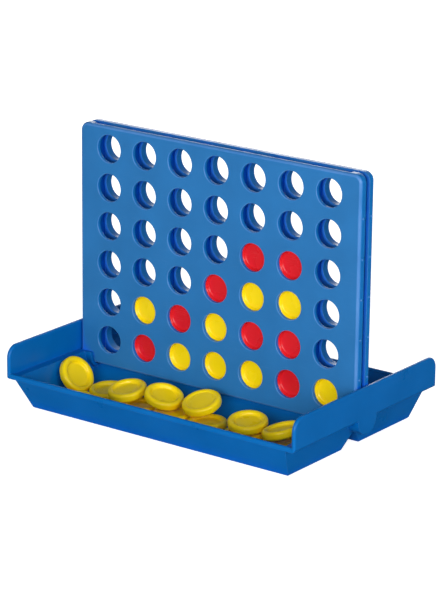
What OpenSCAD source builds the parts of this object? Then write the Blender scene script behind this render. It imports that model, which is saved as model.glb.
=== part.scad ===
// Four in a row frame: an upright grid of two moulded halves standing in a two-trough tray, with its discs.
// Millimetres. Z is up, X runs along the columns, the front looks to -Y and the tray stands on z = 0.

/* [Discs] */
// Diameter of a disc
disc_d = 24.8; // [22:0.1:28]
// Thickness of a disc
disc_t = 5.6; // [5:0.1:6.4]
// Radius of the round edges of a disc's rim
disc_edge_r = 1.8; // [1.2:0.1:1.8]
// Width of the raised rim of a disc
disc_rim_w = 4; // [3.8:0.1:4.6]
// Depth of the deep dish in one face
dish_depth = 2.1; // [1.2:0.1:2.4]
// Radius of the sweep from the dish's floor up to the rim
dish_fillet_r = 1.2; // [0.8:0.1:1.6]
// Depth of the shallow recess in the other face
recess_depth = 0.7; // [0.3:0.1:0.9]
// Gap left where one loose disc lies on another or on the tray
lie_gap = 0.3; // [0.2:0.05:0.6]

/* [Grid] */
// Gap between a disc's edge and the rib beside it
side_play = 0.4; // [0.3:0.05:1]
// Gap between a disc's face and the half beside it
face_play = 0.3; // [0.2:0.05:0.6]
// Gap between one disc and the disc it stands on
stack_gap = 0.2; // [0.1:0.05:0.4]
// Thickness of the ribs between columns
rib_t = 2.1; // [1.6:0.1:3.2]
// Thickness of each half's face
face_t = 2; // [1.6:0.1:3]
// Reach of the hole collars behind the front half's face
front_reach = 0.4; // [0.3:0.1:1.5]
// Reach of the hole collars behind the back half's face
back_reach = 3.4; // [2.4:0.1:4]
// Wall of a hole collar
collar_t = 1.6; // [1.2:0.1:2]
// Diameter of a hole
hole_d = 18; // [15:0.1:19]
// Radius of the rounded front edge of a hole
hole_edge_r = 0.5; // [0.3:0.1:1.4]
// Width of the grid beyond its outermost ribs
grid_side_w = 9; // [8:0.25:12]
// Height of the grid above the centres of its top row
grid_head_h = 14.4; // [13:0.2:20]
// Corner radius of the grid's outline
grid_corner_r = 5.5; // [4:0.25:8]
// Radius of the rounded edge round each face
face_edge_r = 2; // [1:0.1:2.8]
// Wall round the edge of each half
skirt_t = 2.2; // [1.6:0.1:2.6]
// Width of the groove between the halves, up each side of the grid
groove_w = 3.8; // [2:0.1:5]
// Diameter of the pins that join the halves
pin_d = 2; // [1.6:0.1:2.2]
// Gap round a joining pin
pin_gap = 0.05; // [0.02:0.01:0.1]

/* [Tray] */
// Depth of the tray, front to back
tray_d = 152; // [140:1:170]
// Height of the trough walls up to the rim
tray_h = 20; // [18:0.5:24]
// Thickness of the tray's walls
wall_t = 2.2; // [1.8:0.1:2.8]
// Lean of the long walls, measured along the floor
long_wall_run = 10.9; // [8:0.1:14]
// Lean of the end walls, measured along the floor
end_wall_run = 5.3; // [4:0.1:6]
// Width of the ledge from the end wall to the flange's outer face
ledge_w = 7; // [6.5:0.1:8]
// Thickness of the end flanges
flange_t = 2.8; // [2.2:0.1:3.4]
// Height of the end flanges above the rim
flange_h = 21; // [16:0.5:26]
// Radius of the rounded lower edge of the end flanges
flange_foot_r = 2.4; // [1.6:0.1:2.8]
// Corner radius of the end flanges
flange_corner_r = 8; // [5:0.25:10]
// Gap between the grid's side and a flange
end_gap = 1.2; // [0.8:0.1:2]
// Width of the rim lip along the long sides
lip_w = 2.6; // [2.2:0.1:3.2]
// Height of the rim lip
lip_h = 3; // [2.6:0.1:4]
// Slope of the ridge under the grid
ridge_slope = 50; // [45:1:55]
// Reach of the ridge's foot in front of the grid
ridge_reach = 4; // [3:0.25:6]
// Thickness of the rail under the columns
rail_t = 4.8; // [3.6:0.1:5.2]
// Gap between the rail and each half of the grid
rail_gap = 0.4; // [0.3:0.05:0.8]
// Gap between the grid's feet and their pockets
foot_gap = 0.3; // [0.3:0.05:0.6]
// Wall of the pockets
pocket_t = 2.4; // [2:0.1:3]

/* [Hidden] */
$fn = 64;
columns = 7;
rows = 6;

// Colours
blue = [0.10, 0.40, 0.68];
deep_blue = [0.02, 0.33, 0.62];
red = [0.82, 0.13, 0.16];
yellow = [0.93, 0.81, 0.12];

// Overlap that makes two drawn shapes one, and the overrun of a cut
bite = 0.2;
// Gap between the two halves where their ribs meet
seam_gap = 0.1;

// The grid's pitches and sizes
column_pitch = disc_d + 2 * side_play + rib_t;
row_pitch = disc_d + stack_gap;
slot_w = disc_t + 2 * face_play;
grid_t = slot_w + 2 * face_t + front_reach + back_reach;
grid_half_t = grid_t / 2;
slot_y = (front_reach - back_reach) / 2;
grid_half_w = columns * column_pitch / 2 + grid_side_w;
rail_top_z = tray_h;
bottom_row_z = rail_top_z + stack_gap + disc_d / 2;
grid_top_z = bottom_row_z + (rows - 1) * row_pitch + grid_head_h;
rail_cover = 5;
grid_bottom_z = rail_top_z - rail_cover;
rib_foot_z = rail_top_z + rail_gap;
rib_top_drop = 2;
boss_wall = 1.2;
boss_gap = 0.4;
boss_d = pin_d + 2 * boss_wall;
boss_x = grid_half_w - skirt_t - boss_gap - boss_d / 2;
pin_reach = 3;
pip_r = 0.7;

// The grid's feet and their pockets share one axis along X
foot_axis_z = rail_top_z + foot_gap;
foot_x = columns * column_pitch / 2 - rib_t / 2;
foot_end_gap = 0.5;
pocket_r = grid_half_t + foot_gap;

// The tray's sizes
tray_half_l = grid_half_w + end_gap + flange_t;
tray_half_d = tray_d / 2;
lip_overhang = 0.6;
long_lean = atan(long_wall_run / tray_h);
end_lean = atan(end_wall_run / tray_h);
ledge_z = tray_h + wall_t;
ridge_foot = grid_half_t + ridge_reach;
rail_half_w = rail_t / 2;
ridge_top_z = wall_t + (ridge_foot - rail_half_w) * tan(ridge_slope);
rail_end_gap = 2;
rail_half_l = foot_x - rail_end_gap;
rail_chamfer = 0.6;
floor_fillet_r = 3;
ridge_fillet_r = 2;
base_edge_r = 1.2;

// Middle of a column, counted from the left, and of a row, counted from the bottom
function column_x(column) = (column - (columns - 1) / 2) * column_pitch;
function row_z(row) = bottom_row_z + row * row_pitch;

// Half widths of the trough's outside and inside at height z
function outside_x(z) = tray_half_l - ledge_w - (tray_h - z) * tan(end_lean);
function outside_y(z) = tray_half_d - lip_overhang - (tray_h - z) * tan(long_lean);
function inside_x(z) = outside_x(z) - wall_t / cos(end_lean);
function inside_y(z) = outside_y(z) - wall_t / cos(long_lean);

// Discs standing in each column, from the bottom up: r is red, y is yellow
played = ["", "ry", "yr", "yyr", "yryr", "rryr", "y"];

// Loose discs in a trough, from left to right: distance along the trough and out from the ridge in disc
// diameters, lean and the heading it tips towards in degrees, the height it lies at in discs, and its roll
dish_up = 0;
dish_down = 180;
loose = [
    [0.40, 0.75, 55, -3, 0, dish_up],
    [0.96, 1.53, 0, 0, 0, dish_up],
    [1.30, 0.57, 5, -90, 0, dish_up],
    [2.15, 0.88, 12, -105, 1, dish_up],
    [2.58, 0.95, 0, 0, 0, dish_up],
    [3.22, 0.75, 18, -17, 0.96, dish_up],
    [3.62, 0.95, 0, 0, 0, dish_down],
    [4.28, 0.60, 19, -100, 1, dish_down],
    [4.66, 0.88, 0, 0, 0, dish_up],
    [5.90, 0.88, 9, -70, 1, dish_up],
    [5.86, 0.97, 0, 0, 0, dish_up],
    [6.96, 0.93, 15, 195, 1, dish_up],
    [6.94, 0.86, 0, 0, 0, dish_up]
];

function played_spots(letter) = [
    for (column = [0 : 1 : columns - 1], row = [0 : 1 : len(played[column]) - 1])
        if (played[column][row] == letter) [column, row]
];
red_spots = played_spots("r");
yellow_spots = played_spots("y");
red_count = len(red_spots) + len(loose);
yellow_count = len(yellow_spots) + len(loose);

function disc_name(paint, i) = str(paint, "_disc_", i < 10 ? "0" : "", i);

// Drawing helpers

function heading(angle) = [cos(angle), sin(angle)];

// Draws a section given in Y and Z and runs it along X
module along_x(length) {
    rotate([90, 0, 90]) linear_extrude(length, center = true) children();
}

// Draws a section given in X and Z and runs it along Y between two depths
module along_y(from, to) {
    translate([0, to, 0]) rotate([90, 0, 0]) linear_extrude(to - from) children();
}

// The sliver between a corner and the arc that rounds it, for edges at two headings taken anticlockwise.
// It overruns the corner, so its straight sides don't lie along the edges.
module corner_sliver(corner, from, to, r) {
    half = (to - from) / 2;
    centre = heading(from + half) * r / sin(half);
    overrun = 1 + bite / r;
    translate(corner + centre) difference() {
        polygon([
            [0, 0],
            (heading(from) * r / tan(half) - centre) * overrun,
            -centre * overrun,
            (heading(to) * r / tan(half) - centre) * overrun
        ]);
        circle(r);
    }
}

module rounded_rect(half_w, bottom, top, r) {
    translate([-half_w, bottom + r]) square([2 * half_w, top - bottom - 2 * r]);
    translate([-half_w + r, bottom]) square([2 * half_w - 2 * r, top - bottom]);
    for (x = [-half_w + r, half_w - r], z = [bottom + r, top - r]) {
        translate([x, z]) circle(r);
    }
}

// One disc lying flat, its deep dish upwards
module disc() {
    radius = disc_d / 2;
    rim_in = radius - disc_rim_w;
    bead_x = rim_in + disc_edge_r;
    bead_z = disc_t / 2 - disc_edge_r;
    dish_z = disc_t / 2 - dish_depth;
    recess_z = recess_depth - disc_t / 2;
    sweep_z = dish_z + dish_fillet_r;
    sweep_x = bead_x - sqrt(pow(dish_fillet_r + disc_edge_r, 2) - pow(bead_z - sweep_z, 2));
    rotate_extrude() {
        translate([0, recess_z]) square([bead_x, dish_z - recess_z]);
        translate([rim_in, -bead_z]) square([disc_rim_w, 2 * bead_z]);
        translate([bead_x, -disc_t / 2]) square([disc_rim_w - 2 * disc_edge_r, disc_t]);
        for (x = [bead_x, radius - disc_edge_r], z = [-bead_z, bead_z]) {
            translate([x, z]) circle(disc_edge_r);
        }
        difference() {
            polygon([
                [sweep_x, dish_z - bite], [bead_x, dish_z - bite], [bead_x, bead_z], [sweep_x, sweep_z]
            ]);
            translate([sweep_x, sweep_z]) circle(dish_fillet_r);
        }
    }
}

// Half of the grid, face to the front

module panel_outline(inset) {
    rounded_rect(grid_half_w - inset, grid_bottom_z + inset, grid_top_z - inset, grid_corner_r - inset);
}

// The rounded front of a half: a flat inset slab with a quarter round along each edge and round each corner
module panel_front() {
    slab_r = grid_corner_r - face_edge_r;
    ring_x = grid_half_w - grid_corner_r;
    ring_z = (grid_top_z - grid_bottom_z) / 2 - grid_corner_r;
    along_y(-grid_half_t, face_edge_r - grid_half_t) panel_outline(face_edge_r);
    translate([0, face_edge_r - grid_half_t, (grid_top_z + grid_bottom_z) / 2]) rotate([90, 0, 0]) {
        for (i = [0 : 3]) {
            across = i % 2 == 0 ? ring_x : ring_z;
            beside = i % 2 == 0 ? ring_z : ring_x;
            rotate(90 * i) {
                translate([across + slab_r, beside, 0]) rotate([90, 0, 0])
                    linear_extrude(2 * beside) quarter_round();
                translate([across, beside, 0])
                    rotate_extrude(angle = 90) translate([slab_r, 0]) quarter_round();
            }
        }
    }
}

module quarter_round() {
    intersection() {
        circle(face_edge_r);
        square(face_edge_r);
    }
}

// The cut for one hole with its rounded front edge, running back from the face
module hole_cut(depth) {
    hole_r = hole_d / 2;
    rotate([-90, 0, 0]) rotate_extrude() {
        translate([0, -bite]) square([hole_r, depth + 2 * bite]);
        difference() {
            translate([0, -bite]) square([hole_r + hole_edge_r, hole_edge_r + bite]);
            translate([hole_r + hole_edge_r, hole_edge_r]) circle(hole_edge_r);
        }
    }
}

module at_each_hole() {
    for (column = [0 : columns - 1], row = [0 : rows - 1]) {
        translate([column_x(column), 0, row_z(row)]) children();
    }
}

// Places of the joining pins up one side of the grid
module at_each_boss(side) {
    for (row = [0 : 2 : rows - 2]) {
        translate([side * boss_x, 0, row_z(row + 0.5)]) rotate([90, 0, 0]) children();
    }
}

// A half's face with the wall round its edge, open above and below the columns and cleared for the feet
module panel_shell(depth) {
    mouth_half_w = foot_x + rib_t / 2;
    rail_clear = max(rail_half_w + rail_gap, grid_half_t - depth);
    difference() {
        union() {
            panel_front();
            along_y(face_edge_r - grid_half_t, -groove_w / 2) panel_outline(0);
        }
        along_y(face_t - grid_half_t, 0) panel_outline(skirt_t);
        translate([-mouth_half_w, depth - grid_half_t, grid_top_z - skirt_t - bite])
            cube([2 * mouth_half_w, grid_t, skirt_t + 2 * bite]);
        translate([-foot_x, -rail_clear, 0]) cube([2 * foot_x, grid_t, foot_axis_z]);
        for (turn = [0, 180]) {
            rotate(turn) translate([foot_x - foot_end_gap, -grid_t, 0])
                cube([grid_half_w, 2 * grid_t, foot_axis_z]);
        }
    }
}

module panel_ribs() {
    for (i = [0 : columns]) {
        translate([(i - columns / 2) * column_pitch - rib_t / 2, face_t - grid_half_t - bite, rib_foot_z])
            cube([rib_t, grid_half_t - face_t + bite - seam_gap / 2, grid_top_z - rib_top_drop - rib_foot_z]);
    }
}

// The feet: a quarter round under each end and the block that ties it to the shell
module panel_feet() {
    foot_l = grid_half_w - foot_end_gap - foot_x;
    for (side = [-1, 1]) {
        translate([side * (foot_x + foot_l / 2), 0, foot_axis_z]) {
            intersection() {
                rotate([0, 90, 0]) cylinder(h = foot_l, r = grid_half_t, center = true);
                translate([-foot_l, -grid_t, -grid_t]) cube([2 * foot_l, grid_t - seam_gap / 2, grid_t]);
            }
            translate([-foot_l / 2, bite - grid_half_t, -bite])
                cube([foot_l, grid_half_t - bite - seam_gap / 2, skirt_t + bite]);
        }
    }
}

// One half, its face to the front, with hole collars of the given reach
module panel_half(reach) {
    face_back = face_t - grid_half_t;
    pip_y = face_edge_r + pip_r - grid_half_t;
    difference() {
        union() {
            panel_shell(face_t + reach);
            panel_ribs();
            panel_feet();
            at_each_hole() translate([0, face_back - bite, 0]) rotate([-90, 0, 0])
                cylinder(h = reach + bite, r = hole_d / 2 + collar_t);
            for (side = [-1, 1]) {
                at_each_boss(side) translate([0, 0, seam_gap / 2])
                    cylinder(h = grid_half_t - face_t + bite, r = boss_d / 2);
                for (row = [0 : rows - 2]) {
                    translate([side * grid_half_w, pip_y, row_z(row + 0.5)]) sphere(pip_r);
                }
            }
        }
        translate([0, -grid_half_t, 0]) at_each_hole() hole_cut(face_t + reach);
        at_each_boss(-1) cylinder(h = pin_reach + bite, r = pin_d / 2 + pin_gap);
    }
    at_each_boss(1) translate([0, 0, -pin_reach]) cylinder(h = 2 * pin_reach, r = pin_d / 2);
}

// Tray

// Outside of the trough in Y and Z, with the notch under the ridge
module outside_section() {
    notch_foot = ridge_foot - wall_t * (1 / sin(ridge_slope) - 1 / tan(ridge_slope));
    notch_top_z = ridge_top_z - wall_t;
    notch_top = notch_foot - notch_top_z / tan(ridge_slope);
    difference() {
        polygon([
            [-outside_y(tray_h), tray_h], [-outside_y(0), 0], [outside_y(0), 0], [outside_y(tray_h), tray_h]
        ]);
        polygon([
            [-notch_foot, 0], [-notch_foot, -bite], [notch_foot, -bite], [notch_foot, 0],
            [notch_top, notch_top_z], [-notch_top, notch_top_z]
        ]);
        corner_sliver([-outside_y(0), 0], 0, 90 + long_lean, base_edge_r);
        corner_sliver([outside_y(0), 0], 90 - long_lean, 180, base_edge_r);
    }
}

// Outside of the trough in X and Z
module outside_end_section() {
    difference() {
        polygon([
            [-outside_x(tray_h), tray_h], [-outside_x(0), 0], [outside_x(0), 0], [outside_x(tray_h), tray_h]
        ]);
        corner_sliver([-outside_x(0), 0], 0, 90 + end_lean, base_edge_r);
        corner_sliver([outside_x(0), 0], 90 - end_lean, 180, base_edge_r);
    }
}

// The hollow of the trough in Y and Z, over the ridge
module inside_section() {
    difference() {
        polygon([
            [-inside_y(ledge_z + bite), ledge_z + bite], [-inside_y(wall_t), wall_t], [-ridge_foot, wall_t],
            [-rail_half_w, ridge_top_z], [rail_half_w, ridge_top_z],
            [ridge_foot, wall_t], [inside_y(wall_t), wall_t], [inside_y(ledge_z + bite), ledge_z + bite]
        ]);
        corner_sliver([-inside_y(wall_t), wall_t], 0, 90 + long_lean, floor_fillet_r);
        corner_sliver([inside_y(wall_t), wall_t], 90 - long_lean, 180, floor_fillet_r);
        corner_sliver([-ridge_foot, wall_t], ridge_slope, 180, ridge_fillet_r);
        corner_sliver([ridge_foot, wall_t], 0, 180 - ridge_slope, ridge_fillet_r);
    }
}

// The hollow of the trough in X and Z
module inside_end_section() {
    difference() {
        polygon([
            [-inside_x(ledge_z + bite), ledge_z + bite], [-inside_x(wall_t), wall_t],
            [inside_x(wall_t), wall_t], [inside_x(ledge_z + bite), ledge_z + bite]
        ]);
        corner_sliver([-inside_x(wall_t), wall_t], 0, 90 + end_lean, floor_fillet_r);
        corner_sliver([inside_x(wall_t), wall_t], 90 - end_lean, 180, floor_fillet_r);
    }
}

module trough_shell() {
    plate_half_l = tray_half_l - flange_t / 2;
    plate_half_d = tray_half_d - lip_w / 2;
    difference() {
        union() {
            intersection() {
                along_x(2 * tray_half_l) outside_section();
                along_y(-tray_half_d, tray_half_d) outside_end_section();
            }
            translate([-plate_half_l, -plate_half_d, tray_h - bite / 2])
                cube([2 * plate_half_l, 2 * plate_half_d, wall_t + bite / 2]);
        }
        intersection() {
            along_x(2 * tray_half_l) inside_section();
            along_y(-tray_half_d, tray_half_d) inside_end_section();
        }
    }
}

// Rim lip along the front
module lip() {
    lip_r = lip_w / 2;
    lip_half_l = tray_half_l - flange_t / 2;
    translate([-lip_half_l, -tray_half_d, tray_h]) cube([2 * lip_half_l, lip_w, lip_h - lip_r]);
    translate([-lip_half_l, lip_r - tray_half_d, tray_h + lip_h - lip_r]) rotate([0, 90, 0])
        cylinder(h = 2 * lip_half_l, r = lip_r);
}

// Flange at the right end: a slab with a round edge and the tongue below it
module flange() {
    edge_r = flange_t / 2;
    ring_y = tray_half_d - flange_corner_r;
    ring_z = tray_h + flange_h - flange_corner_r;
    slab_half_d = tray_half_d - edge_r;
    translate([tray_half_l - edge_r, 0, 0]) {
        along_x(flange_t) {
            translate([-slab_half_d, tray_h]) square([2 * slab_half_d, ring_z - tray_h]);
            translate([-ring_y, tray_h]) square([2 * ring_y, flange_h - edge_r]);
            for (y = [-ring_y, ring_y]) {
                translate([y, ring_z]) circle(flange_corner_r - edge_r);
            }
        }
        for (y = [-slab_half_d, slab_half_d]) {
            translate([0, y, tray_h]) cylinder(h = ring_z - tray_h, r = edge_r);
        }
        translate([0, -ring_y, tray_h + flange_h - edge_r]) rotate([-90, 0, 0])
            cylinder(h = 2 * ring_y, r = edge_r);
        for (y = [-ring_y, ring_y]) {
            translate([0, y, ring_z]) intersection() {
                rotate([0, 90, 0]) rotate_extrude() translate([flange_corner_r - edge_r, 0]) circle(edge_r);
                translate([-flange_t, y < 0 ? -2 * flange_corner_r : 0, 0]) cube(2 * flange_corner_r);
            }
        }
    }
}

// Tongue at the right end: the half-round end of the pocket, flush with the flange
module tongue() {
    tongue_r = pocket_r + pocket_t;
    translate([tray_half_l - flange_t / 2, 0, 0]) along_x(flange_t) {
        intersection() {
            translate([0, foot_axis_z]) circle(tongue_r);
            translate([-tongue_r, foot_axis_z - tongue_r]) square([2 * tongue_r, tongue_r]);
        }
        translate([-tongue_r, foot_axis_z]) square([2 * tongue_r, flange_foot_r]);
    }
}

// Outside of the pocket at the right end, or its hollow: a half tube along X, open upwards
module pocket(r, from, to) {
    translate([(from + to) / 2, 0, 0]) along_x(to - from) {
        translate([0, foot_axis_z]) circle(r);
        translate([-r, foot_axis_z]) square([2 * r, 2 * grid_t]);
    }
}

module pocket_walls() {
    outer_r = pocket_r + pocket_t;
    intersection() {
        pocket(outer_r, foot_x, tray_half_l - flange_t / 2);
        translate([0, -grid_t, 0]) cube([tray_half_l, 2 * grid_t, ledge_z]);
    }
}

// The rail on the ridge that closes the columns at the bottom
module rail() {
    root_z = ridge_top_z - wall_t / 2;
    along_x(2 * rail_half_l) polygon([
        [-rail_half_w, root_z], [rail_half_w, root_z],
        [rail_half_w, rail_top_z - rail_chamfer], [rail_half_w - rail_chamfer, rail_top_z],
        [rail_chamfer - rail_half_w, rail_top_z], [-rail_half_w, rail_top_z - rail_chamfer]
    ]);
}

// Sub-parts

module tray() color(deep_blue) {
    difference() {
        union() {
            difference() {
                union() {
                    trough_shell();
                    for (turn = [0, 180]) {
                        rotate(turn) {
                            lip();
                            flange();
                        }
                    }
                }
                along_y(-tray_d, tray_d) {
                    corner_sliver([tray_half_l, tray_h], 90, 180, flange_foot_r);
                    corner_sliver([-tray_half_l, tray_h], 0, 90, flange_foot_r);
                }
            }
            for (turn = [0, 180]) {
                rotate(turn) {
                    tongue();
                    pocket_walls();
                }
            }
        }
        for (turn = [0, 180]) {
            rotate(turn) pocket(pocket_r, (rail_half_l + foot_x) / 2, tray_half_l - flange_t);
        }
    }
    rail();
}

module front_panel() color(blue) panel_half(front_reach);

module back_panel() color(blue) rotate(180) panel_half(back_reach);

// A disc standing in the grid, its deep dish to the front
module standing_disc(spot) {
    translate([column_x(spot[0]), slot_y, row_z(spot[1])]) rotate([90, 0, 0]) disc();
}

// A disc lying in the front trough, its lowest point just above the floor or the disc under it
module lying_disc(spot) {
    lean = spot[2];
    rest_z = (disc_d / 2 - disc_edge_r) * sin(lean) + (disc_t / 2 - disc_edge_r) * cos(lean) + disc_edge_r;
    x = spot[0] * disc_d - inside_x(ledge_z);
    y = -ridge_foot - spot[1] * disc_d;
    z = wall_t + lie_gap + spot[4] * (disc_t + lie_gap) + rest_z;
    translate([x, y, z]) rotate(spot[3]) rotate([0, lean, 0]) rotate([spot[5], 0, 0]) disc();
}

module red_disc(i) color(red) {
    standing = len(red_spots);
    if (i <= standing) {
        standing_disc(red_spots[i - 1]);
    } else {
        rotate(180) lying_disc(loose[i - standing - 1]);
    }
}

module yellow_disc(i) color(yellow) {
    standing = len(yellow_spots);
    if (i <= standing) {
        standing_disc(yellow_spots[i - 1]);
    } else {
        lying_disc(loose[i - standing - 1]);
    }
}

tray();
front_panel();
back_panel();
for (i = [1 : red_count]) {
    red_disc(i);
}
for (i = [1 : yellow_count]) {
    yellow_disc(i);
}
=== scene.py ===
"""Finishes and stage for a four in a row frame: blue tray and grid, red and yellow discs, white studio."""

import math

import bpy
from bpy.props import FloatProperty, FloatVectorProperty, PointerProperty
from mathutils import Euler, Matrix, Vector

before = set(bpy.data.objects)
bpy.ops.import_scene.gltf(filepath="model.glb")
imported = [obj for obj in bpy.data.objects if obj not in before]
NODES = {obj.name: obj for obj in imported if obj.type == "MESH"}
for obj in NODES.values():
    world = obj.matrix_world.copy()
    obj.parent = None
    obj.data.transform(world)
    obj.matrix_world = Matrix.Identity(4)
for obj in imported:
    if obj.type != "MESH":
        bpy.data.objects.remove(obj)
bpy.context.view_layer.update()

bl_info = {
    "name": "Four in a Row Frame",
    "version": (1, 0, 0),
    "blender": (4, 5, 0),
    "location": "View3D > Sidebar > Frame",
    "description": "Finishes the moulded tray, grid and discs of a four in a row frame and sets its stage",
    "category": "Object",
}

# Sizes and places of the three lights, and the point they are turned to, in metres
KEY_SIZE = (1.6, 0.8)
KEY_PLACE = (0.66, -1.52, 0.45)
SIDE_SIZE = (0.5, 0.5)
SIDE_PLACE = (1.45, -0.55, 0.62)
BACK_SIZE = (1.6, 0.8)
BACK_PLACE = (-0.66, 1.52, 0.55)
LIGHT_AIM = (0.0, 0.0, 0.07)

# The floor: half its width in metres, its paint, and the glow that only the camera sees
FLOOR_HALF = 6.0
FLOOR_TONE = 0.8
FLOOR_GLOW = 0.78

# Depth of the grain and rub marks in metres, and how strongly they turn the light
GRAIN_DEPTH = 0.00004
GRAIN_STRENGTH = 0.25

# Turns of the two sets of rub marks, in radians
SCUFF_TURNS = ((0.3, 0.5, 0.7), (-0.6, 0.2, 2.1))

# Sizes and colours a user would change


class FinishSettings(bpy.types.PropertyGroup):
    """Colours and surface of the moulded plastics"""

    grid_blue: FloatVectorProperty(
        name="Grid blue", description="Body colour of the two grid halves",
        subtype="COLOR", size=3, min=0, max=1, default=(0.000, 0.150, 0.460))
    # The face colour carries a painted sheen of reflected white; the faces' matte finish itself is set by
    # roughness
    face_sheen_blue: FloatVectorProperty(
        name="Face blue", description="Colour of the matte front and back faces of the grid",
        subtype="COLOR", size=3, min=0, max=1, default=(0.013, 0.146, 0.388))
    tray_blue: FloatVectorProperty(
        name="Tray blue", description="Body colour of the tray",
        subtype="COLOR", size=3, min=0, max=1, default=(0.000, 0.122, 0.402))
    disc_red: FloatVectorProperty(
        name="Disc red", description="Body colour of the red discs",
        subtype="COLOR", size=3, min=0, max=1, default=(0.660, 0.011, 0.018))
    disc_yellow: FloatVectorProperty(
        name="Disc yellow", description="Body colour of the yellow discs",
        subtype="COLOR", size=3, min=0, max=1, default=(0.900, 0.665, 0.003))
    # The edge radius softens the edge normals and sets the width of the painted highlight along the edges
    edge_radius: FloatProperty(
        name="Edge radius", description="Softness of the moulded edges",
        unit="LENGTH", min=0, max=0.002, default=0.0005)
    # Painted shade: grooves and corners within this reach take a purer colour where little light reaches
    painted_shade_reach: FloatProperty(
        name="Recess reach", description="Width of the grooves and corners that look richer in colour",
        unit="LENGTH", min=0.0005, max=0.05, default=0.010)
    grain_size: FloatProperty(
        name="Grain size", description="Size of the fine grain in the moulded skin",
        unit="LENGTH", min=0.0001, max=0.005, default=0.0006)
    scuff_size: FloatProperty(
        name="Scuff size", description="Length of the fine rub marks from play",
        unit="LENGTH", min=0.001, max=0.05, default=0.012)


class StageSettings(bpy.types.PropertyGroup):
    """Camera and light of the stage"""

    camera_turn: FloatProperty(
        name="Camera turn", description="Bearing of the camera from straight in front, towards the right end",
        subtype="ANGLE", unit="ROTATION", default=math.radians(36.405))
    camera_rise: FloatProperty(
        name="Camera rise", description="Height of the camera above the horizon",
        subtype="ANGLE", unit="ROTATION", default=math.radians(17.27))
    camera_roll: FloatProperty(
        name="Camera roll", description="Tilt of the camera about its line of sight",
        subtype="ANGLE", unit="ROTATION", default=math.radians(0.628))
    camera_distance: FloatProperty(
        name="Camera distance", description="Distance from the camera to the point it looks at",
        unit="LENGTH", min=0.1, default=1.7574)
    camera_aim: FloatVectorProperty(
        name="Camera aim", description="Point the camera looks at",
        subtype="XYZ", unit="LENGTH", size=3, default=(0.00185, -0.00146, 0.07669))
    camera_lens: FloatProperty(
        name="Camera lens", description="Focal length for a 36 mm sensor along the picture's longer side",
        unit="CAMERA", min=1, default=173.41)
    key_strength: FloatProperty(
        name="Key light", description="Strength of the soft light in front",
        unit="POWER", min=0, default=24.0)
    side_strength: FloatProperty(
        name="Side light", description="Strength of the smaller light above the right end",
        unit="POWER", min=0, default=8.0)
    back_strength: FloatProperty(
        name="Back light", description="Strength of the soft light behind",
        unit="POWER", min=0, default=15.0)
    sky_strength: FloatProperty(
        name="Sky light", description="Strength of the soft light from all round, at the horizon",
        min=0, default=0.60)
    overhead_share: FloatProperty(
        name="Overhead share", description="Share of the sky light that comes from straight above",
        min=0, max=1, default=0.25)
    mirrored_share: FloatProperty(
        name="Mirrored white", description="How much of the white surroundings shows in the plastic's gloss",
        min=0, max=1, default=0.05)


# Shader node groups that the plastics share


def new_group(name, inputs, outputs):
    """Makes an empty shader node group with the named sockets and returns it with its end nodes."""
    group = bpy.data.node_groups.new(name, "ShaderNodeTree")
    for socket, kind, value in inputs:
        group.interface.new_socket(socket, in_out="INPUT", socket_type=kind).default_value = value
    for socket, kind in outputs:
        group.interface.new_socket(socket, in_out="OUTPUT", socket_type=kind)
    return group, group.nodes.new("NodeGroupInput"), group.nodes.new("NodeGroupOutput")


def math_node(tree, operation, first, second):
    """Adds a Math node whose two inputs are sockets or numbers and returns its output."""
    node = tree.nodes.new("ShaderNodeMath")
    node.operation = operation
    for socket, value in zip(node.inputs, (first, second)):
        if isinstance(value, bpy.types.NodeSocket):
            tree.links.new(value, socket)
        else:
            socket.default_value = value
    return node.outputs[0]


def map_node(tree, value, low, high, out_low, out_high):
    """Adds a clamped Map Range node and returns its output."""
    node = tree.nodes.new("ShaderNodeMapRange")
    tree.links.new(value, node.inputs["Value"])
    for socket, number in zip(("From Min", "From Max", "To Min", "To Max"), (low, high, out_low, out_high)):
        if isinstance(number, bpy.types.NodeSocket):
            tree.links.new(number, node.inputs[socket])
        else:
            node.inputs[socket].default_value = number
    return node.outputs["Result"]


def noise_node(tree, coordinates, scale, detail):
    """Adds a Noise Texture node and returns its value output."""
    node = tree.nodes.new("ShaderNodeTexNoise")
    node.inputs["Detail"].default_value = detail
    tree.links.new(coordinates, node.inputs["Vector"])
    tree.links.new(scale, node.inputs["Scale"])
    return node.outputs["Fac"]


def mix_node(tree, factor, first, second, blend="MIX"):
    """Adds a colour Mix node whose inputs are sockets or, for the factor, a number and returns its output."""
    node = tree.nodes.new("ShaderNodeMix")
    node.data_type = "RGBA"
    node.blend_type = blend
    if isinstance(factor, bpy.types.NodeSocket):
        tree.links.new(factor, node.inputs["Factor"])
    else:
        node.inputs["Factor"].default_value = factor
    for value, socket in ((first, "A"), (second, "B")):
        tree.links.new(value, next(i for i in node.inputs if i.name == socket and i.type == "RGBA"))
    return next(o for o in node.outputs if o.type == "RGBA")


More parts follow.
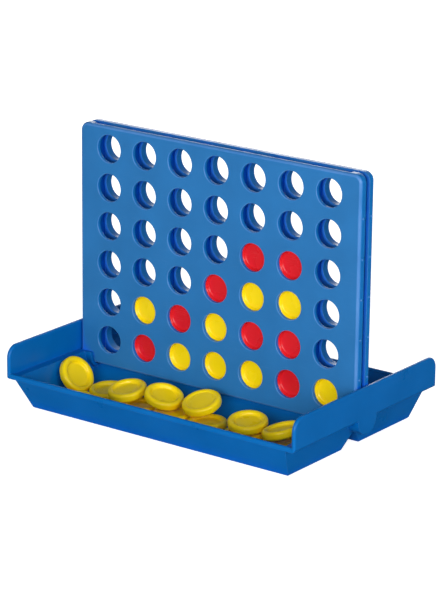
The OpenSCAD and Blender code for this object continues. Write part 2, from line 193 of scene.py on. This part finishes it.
def scuff_group():
    """Fine straight rub marks in two directions, as a mask."""
    group, start, end = new_group(
        "scuffs",
        [("Length", "NodeSocketFloat", 0.012), ("Thinness", "NodeSocketFloat", 40.0)],
        [("Mask", "NodeSocketFloat")])
    line_start, line_full = 0.68, 0.74
    patch_start, patch_full = 0.45, 0.65
    patch_share = 0.6
    place = group.nodes.new("ShaderNodeTexCoord").outputs["Object"]
    scale = math_node(group, "DIVIDE", 1.0, start.outputs["Length"])
    masks = []
    for turn in SCUFF_TURNS:
        mapping = group.nodes.new("ShaderNodeMapping")
        mapping.inputs["Rotation"].default_value = turn
        stretch = group.nodes.new("ShaderNodeCombineXYZ")
        stretch.inputs["X"].default_value = 1.0
        group.links.new(start.outputs["Thinness"], stretch.inputs["Y"])
        group.links.new(start.outputs["Thinness"], stretch.inputs["Z"])
        group.links.new(stretch.outputs[0], mapping.inputs["Scale"])
        group.links.new(place, mapping.inputs["Vector"])
        lines = noise_node(group, mapping.outputs[0], scale, 1.0)
        masks.append(map_node(group, lines, line_start, line_full, 0.0, 1.0))
    patches = noise_node(group, place, math_node(group, "MULTIPLY", scale, patch_share), 2.0)
    both = math_node(group, "MAXIMUM", masks[0], masks[1])
    worn = math_node(group, "MULTIPLY", both, map_node(group, patches, patch_start, patch_full, 0.0, 1.0))
    group.links.new(worn, end.inputs["Mask"])
    return group


def edge_group():
    """Softened normals along the moulded edges and a mask of where the edges are, used to paint a highlight
    along them.
    """
    group, start, end = new_group(
        "edges_and_highlight",
        [("Radius", "NodeSocketFloat", 0.0005)],
        [("Normal", "NodeSocketVector"), ("Mask", "NodeSocketFloat")])
    full_edge_match = 0.75
    bevel = group.nodes.new("ShaderNodeBevel")
    bevel.samples = 6
    group.links.new(start.outputs["Radius"], bevel.inputs["Radius"])
    plain = group.nodes.new("ShaderNodeNewGeometry")
    match = group.nodes.new("ShaderNodeVectorMath")
    match.operation = "DOT_PRODUCT"
    group.links.new(bevel.outputs["Normal"], match.inputs[0])
    group.links.new(plain.outputs["Normal"], match.inputs[1])
    group.links.new(bevel.outputs["Normal"], end.inputs["Normal"])
    group.links.new(map_node(group, match.outputs["Value"], 1.0, full_edge_match, 0.0, 1.0), end.inputs["Mask"])
    return group


def painted_shade_group():
    """A mask of the grooves, corners and gaps that little light reaches, where a shade colour is painted."""
    group, start, end = new_group(
        "painted_shade",
        [("Reach", "NodeSocketFloat", 0.010)],
        [("Mask", "NodeSocketFloat")])
    closed_in, in_the_open = 0.25, 0.75
    open_air = group.nodes.new("ShaderNodeAmbientOcclusion")
    open_air.samples = 8
    group.links.new(start.outputs["Reach"], open_air.inputs["Distance"])
    mask = map_node(group, open_air.outputs["AO"], closed_in, in_the_open, 1.0, 0.0)
    group.links.new(mask, end.inputs["Mask"])
    return group


def panel_group():
    """Masks of a panel's flat faces, which are matte and get a painted sheen, and of the rounds along their
    edges, which get a painted highlight.
    """
    group, start, end = new_group(
        "panel_faces",
        [("Flatness", "NodeSocketFloat", 0.97)],
        [("Flat", "NodeSocketFloat"), ("Round highlight", "NodeSocketFloat")])
    round_start, round_full = 0.2, 0.6
    split = group.nodes.new("ShaderNodeSeparateXYZ")
    group.links.new(group.nodes.new("ShaderNodeTexCoord").outputs["Normal"], split.inputs[0])
    facing = math_node(group, "ABSOLUTE", split.outputs["Y"], 0.0)
    flat = map_node(group, facing, start.outputs["Flatness"], 1.0, 0.0, 1.0)
    turned = map_node(group, facing, round_start, round_full, 0.0, 1.0)
    group.links.new(flat, end.inputs["Flat"])
    group.links.new(math_node(group, "SUBTRACT", turned, flat), end.inputs["Round highlight"])
    return group


def skin_group(scuffs):
    """The moulded skin: colour with faint flow shades, painted shade in grooves and corners, painted edge
    highlights and face sheen, gloss that varies, and a fine grain with rub marks.
    """
    group, start, end = new_group(
        "moulded_skin",
        [("Body", "NodeSocketColor", (0.5, 0.5, 0.5, 1.0)),
         ("Edge tint", "NodeSocketColor", (0.6, 0.6, 0.6, 1.0)),
         ("Highlight mask", "NodeSocketFloat", 0.0),
         ("Recess tint", "NodeSocketColor", (0.3, 0.3, 0.3, 1.0)),
         ("Painted shade mask", "NodeSocketFloat", 0.0),
         ("Matte sheen tint", "NodeSocketColor", (0.5, 0.5, 0.5, 1.0)),
         ("Matte and sheen mask", "NodeSocketFloat", 0.0),
         ("Gloss low", "NodeSocketFloat", 0.28),
         ("Gloss high", "NodeSocketFloat", 0.40),
         ("Grain size", "NodeSocketFloat", 0.0006),
         ("Scuff size", "NodeSocketFloat", 0.012)],
        [("Color", "NodeSocketColor"), ("Roughness", "NodeSocketFloat"), ("Height", "NodeSocketFloat")])
    flow_low, flow_high = 0.3, 0.7
    rub_tint, rub_dulling, rub_depth = 0.18, 0.12, 0.6
    matte_dulling = 0.2
    place = group.nodes.new("ShaderNodeTexCoord").outputs["Object"]
    rubs = group.nodes.new("ShaderNodeGroup")
    rubs.node_tree = scuffs
    group.links.new(start.outputs["Scuff size"], rubs.inputs["Length"])
    flow_scale = math_node(group, "DIVIDE", 0.5, start.outputs["Scuff size"])
    flow = noise_node(group, place, flow_scale, 3.0)
    grain = noise_node(group, place, math_node(group, "DIVIDE", 1.0, start.outputs["Grain size"]), 2.0)

    # Painted sheen: the matte flat faces take their own colour with reflected white in it
    skin = mix_node(group, start.outputs["Matte and sheen mask"], start.outputs["Body"], start.outputs["Matte sheen tint"])
    # Painted shade: a purer, richer colour where little light reaches
    with_painted_shade = mix_node(group, start.outputs["Painted shade mask"], skin, start.outputs["Recess tint"])
    tone = map_node(group, flow, flow_low, flow_high, 0.93, 1.05)
    shade = mix_node(group, 1.0, with_painted_shade, tone, "MULTIPLY")
    uneven = map_node(group, flow, flow_low, flow_high, 0.35, 0.7)
    # Painted highlight along edges and rounds, uneven with the flow; the rub marks are real wear and lighten
    # with the same colour
    edges = math_node(group, "MULTIPLY", start.outputs["Highlight mask"], uneven)
    highlight_and_rubs = math_node(group, "MAXIMUM", edges, math_node(group, "MULTIPLY", rubs.outputs["Mask"], rub_tint))
    lifted_by_highlight_and_rubs = mix_node(group, highlight_and_rubs, shade, start.outputs["Edge tint"])
    group.links.new(lifted_by_highlight_and_rubs, end.inputs["Color"])

    gloss = map_node(group, flow, 0.25, 0.75, start.outputs["Gloss low"], start.outputs["Gloss high"])
    faces = math_node(group, "MULTIPLY", start.outputs["Matte and sheen mask"], matte_dulling)
    rubbed = math_node(group, "MULTIPLY", rubs.outputs["Mask"], rub_dulling)
    dulled = math_node(group, "ADD", math_node(group, "ADD", gloss, faces), rubbed)
    group.links.new(dulled, end.inputs["Roughness"])

    scratches = math_node(group, "MULTIPLY", rubs.outputs["Mask"], rub_depth)
    height = math_node(group, "SUBTRACT", grain, scratches)
    group.links.new(height, end.inputs["Height"])
    return group


def shared_groups():
    """Builds the shared node groups once and returns them by name."""
    if "moulded_skin" not in bpy.data.node_groups:
        edge_group()
        painted_shade_group()
        panel_group()
        skin_group(scuff_group())
    return bpy.data.node_groups


def add_group(tree, name, **values):
    """Adds one of the shared groups to a material and sets the inputs given by name."""
    node = tree.nodes.new("ShaderNodeGroup")
    node.node_tree = shared_groups()[name]
    for socket, value in values.items():
        node.inputs[socket.replace("_", " ")].default_value = value
    return node


def moulded_plastic(name, body, painted_shade_tint, gloss, specular, highlight_and_rub_share, matte_sheen_tint=None):
    """A moulded plastic with a painted highlight along its edges, a painted shade colour in its grooves and
    corners, and matte faces with a painted sheen if asked for.
    """
    finish = bpy.context.scene.frame_finish
    material = bpy.data.materials.new(name)
    material.use_nodes = True
    tree = material.node_tree
    shader = tree.nodes["Principled BSDF"]
    shader.inputs["Specular IOR Level"].default_value = specular

    edge_node = add_group(tree, "edges_and_highlight", Radius=finish.edge_radius)
    painted_shade_node = add_group(tree, "painted_shade", Reach=finish.painted_shade_reach)
    skin_node = add_group(
        tree, "moulded_skin", Body=(*body, 1.0), Edge_tint=(*lighter(body, highlight_and_rub_share), 1.0),
        Recess_tint=(*painted_shade_tint, 1.0), Gloss_low=gloss[0], Gloss_high=gloss[1],
        Grain_size=finish.grain_size, Scuff_size=finish.scuff_size)
    highlight_mask = edge_node.outputs["Mask"]
    # Matte faces: real roughness, and a painted sheen in their colour; their rounded edges get the painted
    # highlight
    if matte_sheen_tint:
        panel_node = add_group(tree, "panel_faces")
        skin_node.inputs["Matte sheen tint"].default_value = (*matte_sheen_tint, 1.0)
        tree.links.new(panel_node.outputs["Flat"], skin_node.inputs["Matte and sheen mask"])
        highlight_mask = math_node(tree, "MAXIMUM", highlight_mask, panel_node.outputs["Round highlight"])
    bump = tree.nodes.new("ShaderNodeBump")
    bump.inputs["Strength"].default_value = GRAIN_STRENGTH
    bump.inputs["Distance"].default_value = GRAIN_DEPTH

    # Wires the painted highlight mask and the painted shade mask into the skin
    tree.links.new(highlight_mask, skin_node.inputs["Highlight mask"])
    tree.links.new(painted_shade_node.outputs["Mask"], skin_node.inputs["Painted shade mask"])
    tree.links.new(edge_node.outputs["Normal"], bump.inputs["Normal"])
    tree.links.new(skin_node.outputs["Height"], bump.inputs["Height"])
    tree.links.new(bump.outputs["Normal"], shader.inputs["Normal"])
    tree.links.new(skin_node.outputs["Color"], shader.inputs["Base Color"])
    tree.links.new(skin_node.outputs["Roughness"], shader.inputs["Roughness"])
    return material


def dress(names, material):
    """Gives the CAD nodes of these names one material."""
    for name in names:
        if name not in NODES:
            raise RuntimeError(f"the frame has no node named {name}")
        mesh = NODES[name].data
        mesh.materials.clear()
        mesh.materials.append(material)


def lighter(colour, share):
    """A colour moved towards white by a share."""
    return tuple(c + (1.0 - c) * share for c in colour)


# Makes the colour that is painted as shade in grooves and corners
def richer(colour, share):
    """A purer colour: the strongest channel nearer to full by a share, the others lower by half that share."""
    strongest = max(colour)
    return tuple(c + (1.0 - c) * share if c == strongest else c * (1.0 - share / 2) for c in colour)


# Operators


class FRAME_OT_tray(bpy.types.Operator):
    """Finish the tray in moulded blue"""

    bl_idname = "frame.tray"
    bl_label = "Tray"

    def execute(self, context):
        blue = context.scene.frame_finish.tray_blue
        # Shade colour painted in grooves and corners, and the share of white in the painted edge highlight
        plastic = moulded_plastic(
            "tray_plastic", blue, painted_shade_tint=richer(blue, 0.15), gloss=(0.26, 0.36), specular=0.2,
            highlight_and_rub_share=0.06)
        dress(["tray"], plastic)
        return {"FINISHED"}


class FRAME_OT_grid(bpy.types.Operator):
    """Finish both halves of the grid in moulded blue"""

    bl_idname = "frame.grid"
    bl_label = "Grid"

    def execute(self, context):
        finish = context.scene.frame_finish
        blue = finish.grid_blue
        # Shade colour painted in grooves and corners, share of white in the painted edge highlight, and the
        # faces' colour with painted sheen
        plastic = moulded_plastic(
            "grid_plastic", blue, painted_shade_tint=richer(blue, 0.5), gloss=(0.32, 0.42), specular=0.3,
            highlight_and_rub_share=0.10, matte_sheen_tint=finish.face_sheen_blue)
        dress(["front_panel", "back_panel"], plastic)
        return {"FINISHED"}


class FRAME_OT_discs(bpy.types.Operator):
    """Finish the red and the yellow discs"""

    bl_idname = "frame.discs"
    bl_label = "Discs"

    def execute(self, context):
        finish = context.scene.frame_finish
        for paint, colour in (("red", finish.disc_red), ("yellow", finish.disc_yellow)):
            # Shade colour painted in grooves and corners, and the share of white in the painted edge highlight
            plastic = moulded_plastic(
                f"{paint}_plastic", colour, painted_shade_tint=richer(colour, 0.3), gloss=(0.22, 0.32), specular=0.3,
                highlight_and_rub_share=0.10)
            dress(sorted(name for name in NODES if name.startswith(f"{paint}_disc")), plastic)
        return {"FINISHED"}


class FRAME_OT_stage(bpy.types.Operator):
    """Set the white floor, the soft light and the camera"""

    bl_idname = "frame.stage"
    bl_label = "Stage"

    def execute(self, context):
        scene = context.scene
        scene.view_settings.view_transform = "Standard"
        stage = scene.frame_stage
        self.make_floor(scene, stage)
        self.make_sky(scene, stage)
        self.make_light(scene, "key_light", stage.key_strength, KEY_SIZE, KEY_PLACE)
        self.make_light(scene, "side_light", stage.side_strength, SIDE_SIZE, SIDE_PLACE)
        self.make_light(scene, "back_light", stage.back_strength, BACK_SIZE, BACK_PLACE)
        self.make_camera(scene, stage)
        return {"FINISHED"}

    def make_floor(self, scene, stage):
        """A wide white floor that shows white to the camera and keeps the object's shadow."""
        mesh = bpy.data.meshes.new("floor")
        corners = [(x * FLOOR_HALF, y * FLOOR_HALF, 0) for x, y in ((-1, -1), (1, -1), (1, 1), (-1, 1))]
        mesh.from_pydata(corners, [], [(0, 1, 2, 3)])
        floor = bpy.data.objects.new("floor", mesh)
        scene.collection.objects.link(floor)
        material = bpy.data.materials.new("white_floor")
        material.use_nodes = True
        tree = material.node_tree
        tree.nodes.clear()
        paint = tree.nodes.new("ShaderNodeBsdfDiffuse")
        glow = tree.nodes.new("ShaderNodeEmission")
        glow.inputs["Strength"].default_value = FLOOR_GLOW
        both = tree.nodes.new("ShaderNodeAddShader")
        switch = tree.nodes.new("ShaderNodeMixShader")
        rays = tree.nodes.new("ShaderNodeLightPath")
        tone = map_node(tree, rays.outputs["Is Glossy Ray"], 0.0, 1.0, FLOOR_TONE, stage.mirrored_share)
        tree.links.new(tone, paint.inputs["Color"])
        tree.links.new(paint.outputs[0], both.inputs[0])
        tree.links.new(glow.outputs[0], both.inputs[1])
        tree.links.new(rays.outputs["Is Camera Ray"], switch.inputs[0])
        tree.links.new(paint.outputs[0], switch.inputs[1])
        tree.links.new(both.outputs[0], switch.inputs[2])
        end = tree.nodes.new("ShaderNodeOutputMaterial")
        tree.links.new(switch.outputs[0], end.inputs["Surface"])
        mesh.materials.append(material)

    def make_sky(self, scene, stage):
        """Light from all round, weaker overhead than at the horizon; white where the camera sees it."""
        world = bpy.data.worlds.new("studio")
        world.use_nodes = True
        tree = world.node_tree
        sky = tree.nodes["Background"]
        rays = tree.nodes.new("ShaderNodeLightPath")
        split = tree.nodes.new("ShaderNodeSeparateXYZ")
        tree.links.new(tree.nodes.new("ShaderNodeTexCoord").outputs["Generated"], split.inputs[0])
        overhead = stage.sky_strength * stage.overhead_share
        graded = map_node(tree, split.outputs["Z"], 0.1, 0.7, stage.sky_strength, overhead)
        lit = map_node(tree, rays.outputs["Is Glossy Ray"], 0.0, 1.0, graded, stage.mirrored_share)
        shown = map_node(tree, rays.outputs["Is Camera Ray"], 0.0, 1.0, lit, 1.0)
        tree.links.new(shown, sky.inputs["Strength"])
        sky.inputs["Color"].default_value = (1.0, 1.0, 1.0, 1.0)
        scene.world = world

    def make_light(self, scene, name, strength, size, place):
        """A soft oval of light at a place, turned to the object."""
        light = bpy.data.lights.new(name, "AREA")
        light.shape = "ELLIPSE"
        light.size, light.size_y = size
        light.energy = strength
        lamp = bpy.data.objects.new(name, light)
        scene.collection.objects.link(lamp)
        lamp.location = place
        lamp.rotation_euler = (Vector(LIGHT_AIM) - Vector(place)).to_track_quat("-Z", "Y").to_euler()

    def make_camera(self, scene, stage):
        """The camera at the photographed angle."""
        data = bpy.data.cameras.new("camera")
        data.lens = stage.camera_lens
        data.sensor_width = 36.0
        camera = bpy.data.objects.new("camera", data)
        scene.collection.objects.link(camera)
        turn, rise = stage.camera_turn, stage.camera_rise
        back = Vector((math.sin(turn) * math.cos(rise), -math.cos(turn) * math.cos(rise), math.sin(rise)))
        camera.location = Vector(stage.camera_aim) + back * stage.camera_distance
        level = back.to_track_quat("Z", "Y")
        camera.rotation_mode = "QUATERNION"
        camera.rotation_quaternion = level @ Euler((0.0, 0.0, stage.camera_roll)).to_quaternion()
        scene.camera = camera


class FRAME_PT_parts(bpy.types.Panel):
    """Lists the frame's pieces and their settings"""

    bl_idname = "FRAME_PT_parts"
    bl_label = "Four in a Row Frame"
    bl_space_type = "VIEW_3D"
    bl_region_type = "UI"
    bl_category = "Frame"

    def draw(self, context):
        layout = self.layout
        for settings in (context.scene.frame_finish, context.scene.frame_stage):
            column = layout.column()
            for name in settings.__annotations__:
                column.prop(settings, name)
        for operator in OPERATORS:
            layout.operator(operator.bl_idname)


OPERATORS = (FRAME_OT_tray, FRAME_OT_grid, FRAME_OT_discs, FRAME_OT_stage)
CLASSES = (FinishSettings, StageSettings, *OPERATORS, FRAME_PT_parts)


def register():
    """Registers the classes and hangs their settings on the scene."""
    for item in CLASSES:
        bpy.utils.register_class(item)
    bpy.types.Scene.frame_finish = PointerProperty(type=FinishSettings)
    bpy.types.Scene.frame_stage = PointerProperty(type=StageSettings)


def unregister():
    """Takes the settings and the classes away again."""
    del bpy.types.Scene.frame_stage
    del bpy.types.Scene.frame_finish
    for item in reversed(CLASSES):
        bpy.utils.unregister_class(item)


def main():
    """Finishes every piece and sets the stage."""
    register()
    bpy.ops.frame.tray()
    bpy.ops.frame.grid()
    bpy.ops.frame.discs()
    bpy.ops.frame.stage()


if __name__ == "__main__":
    main()
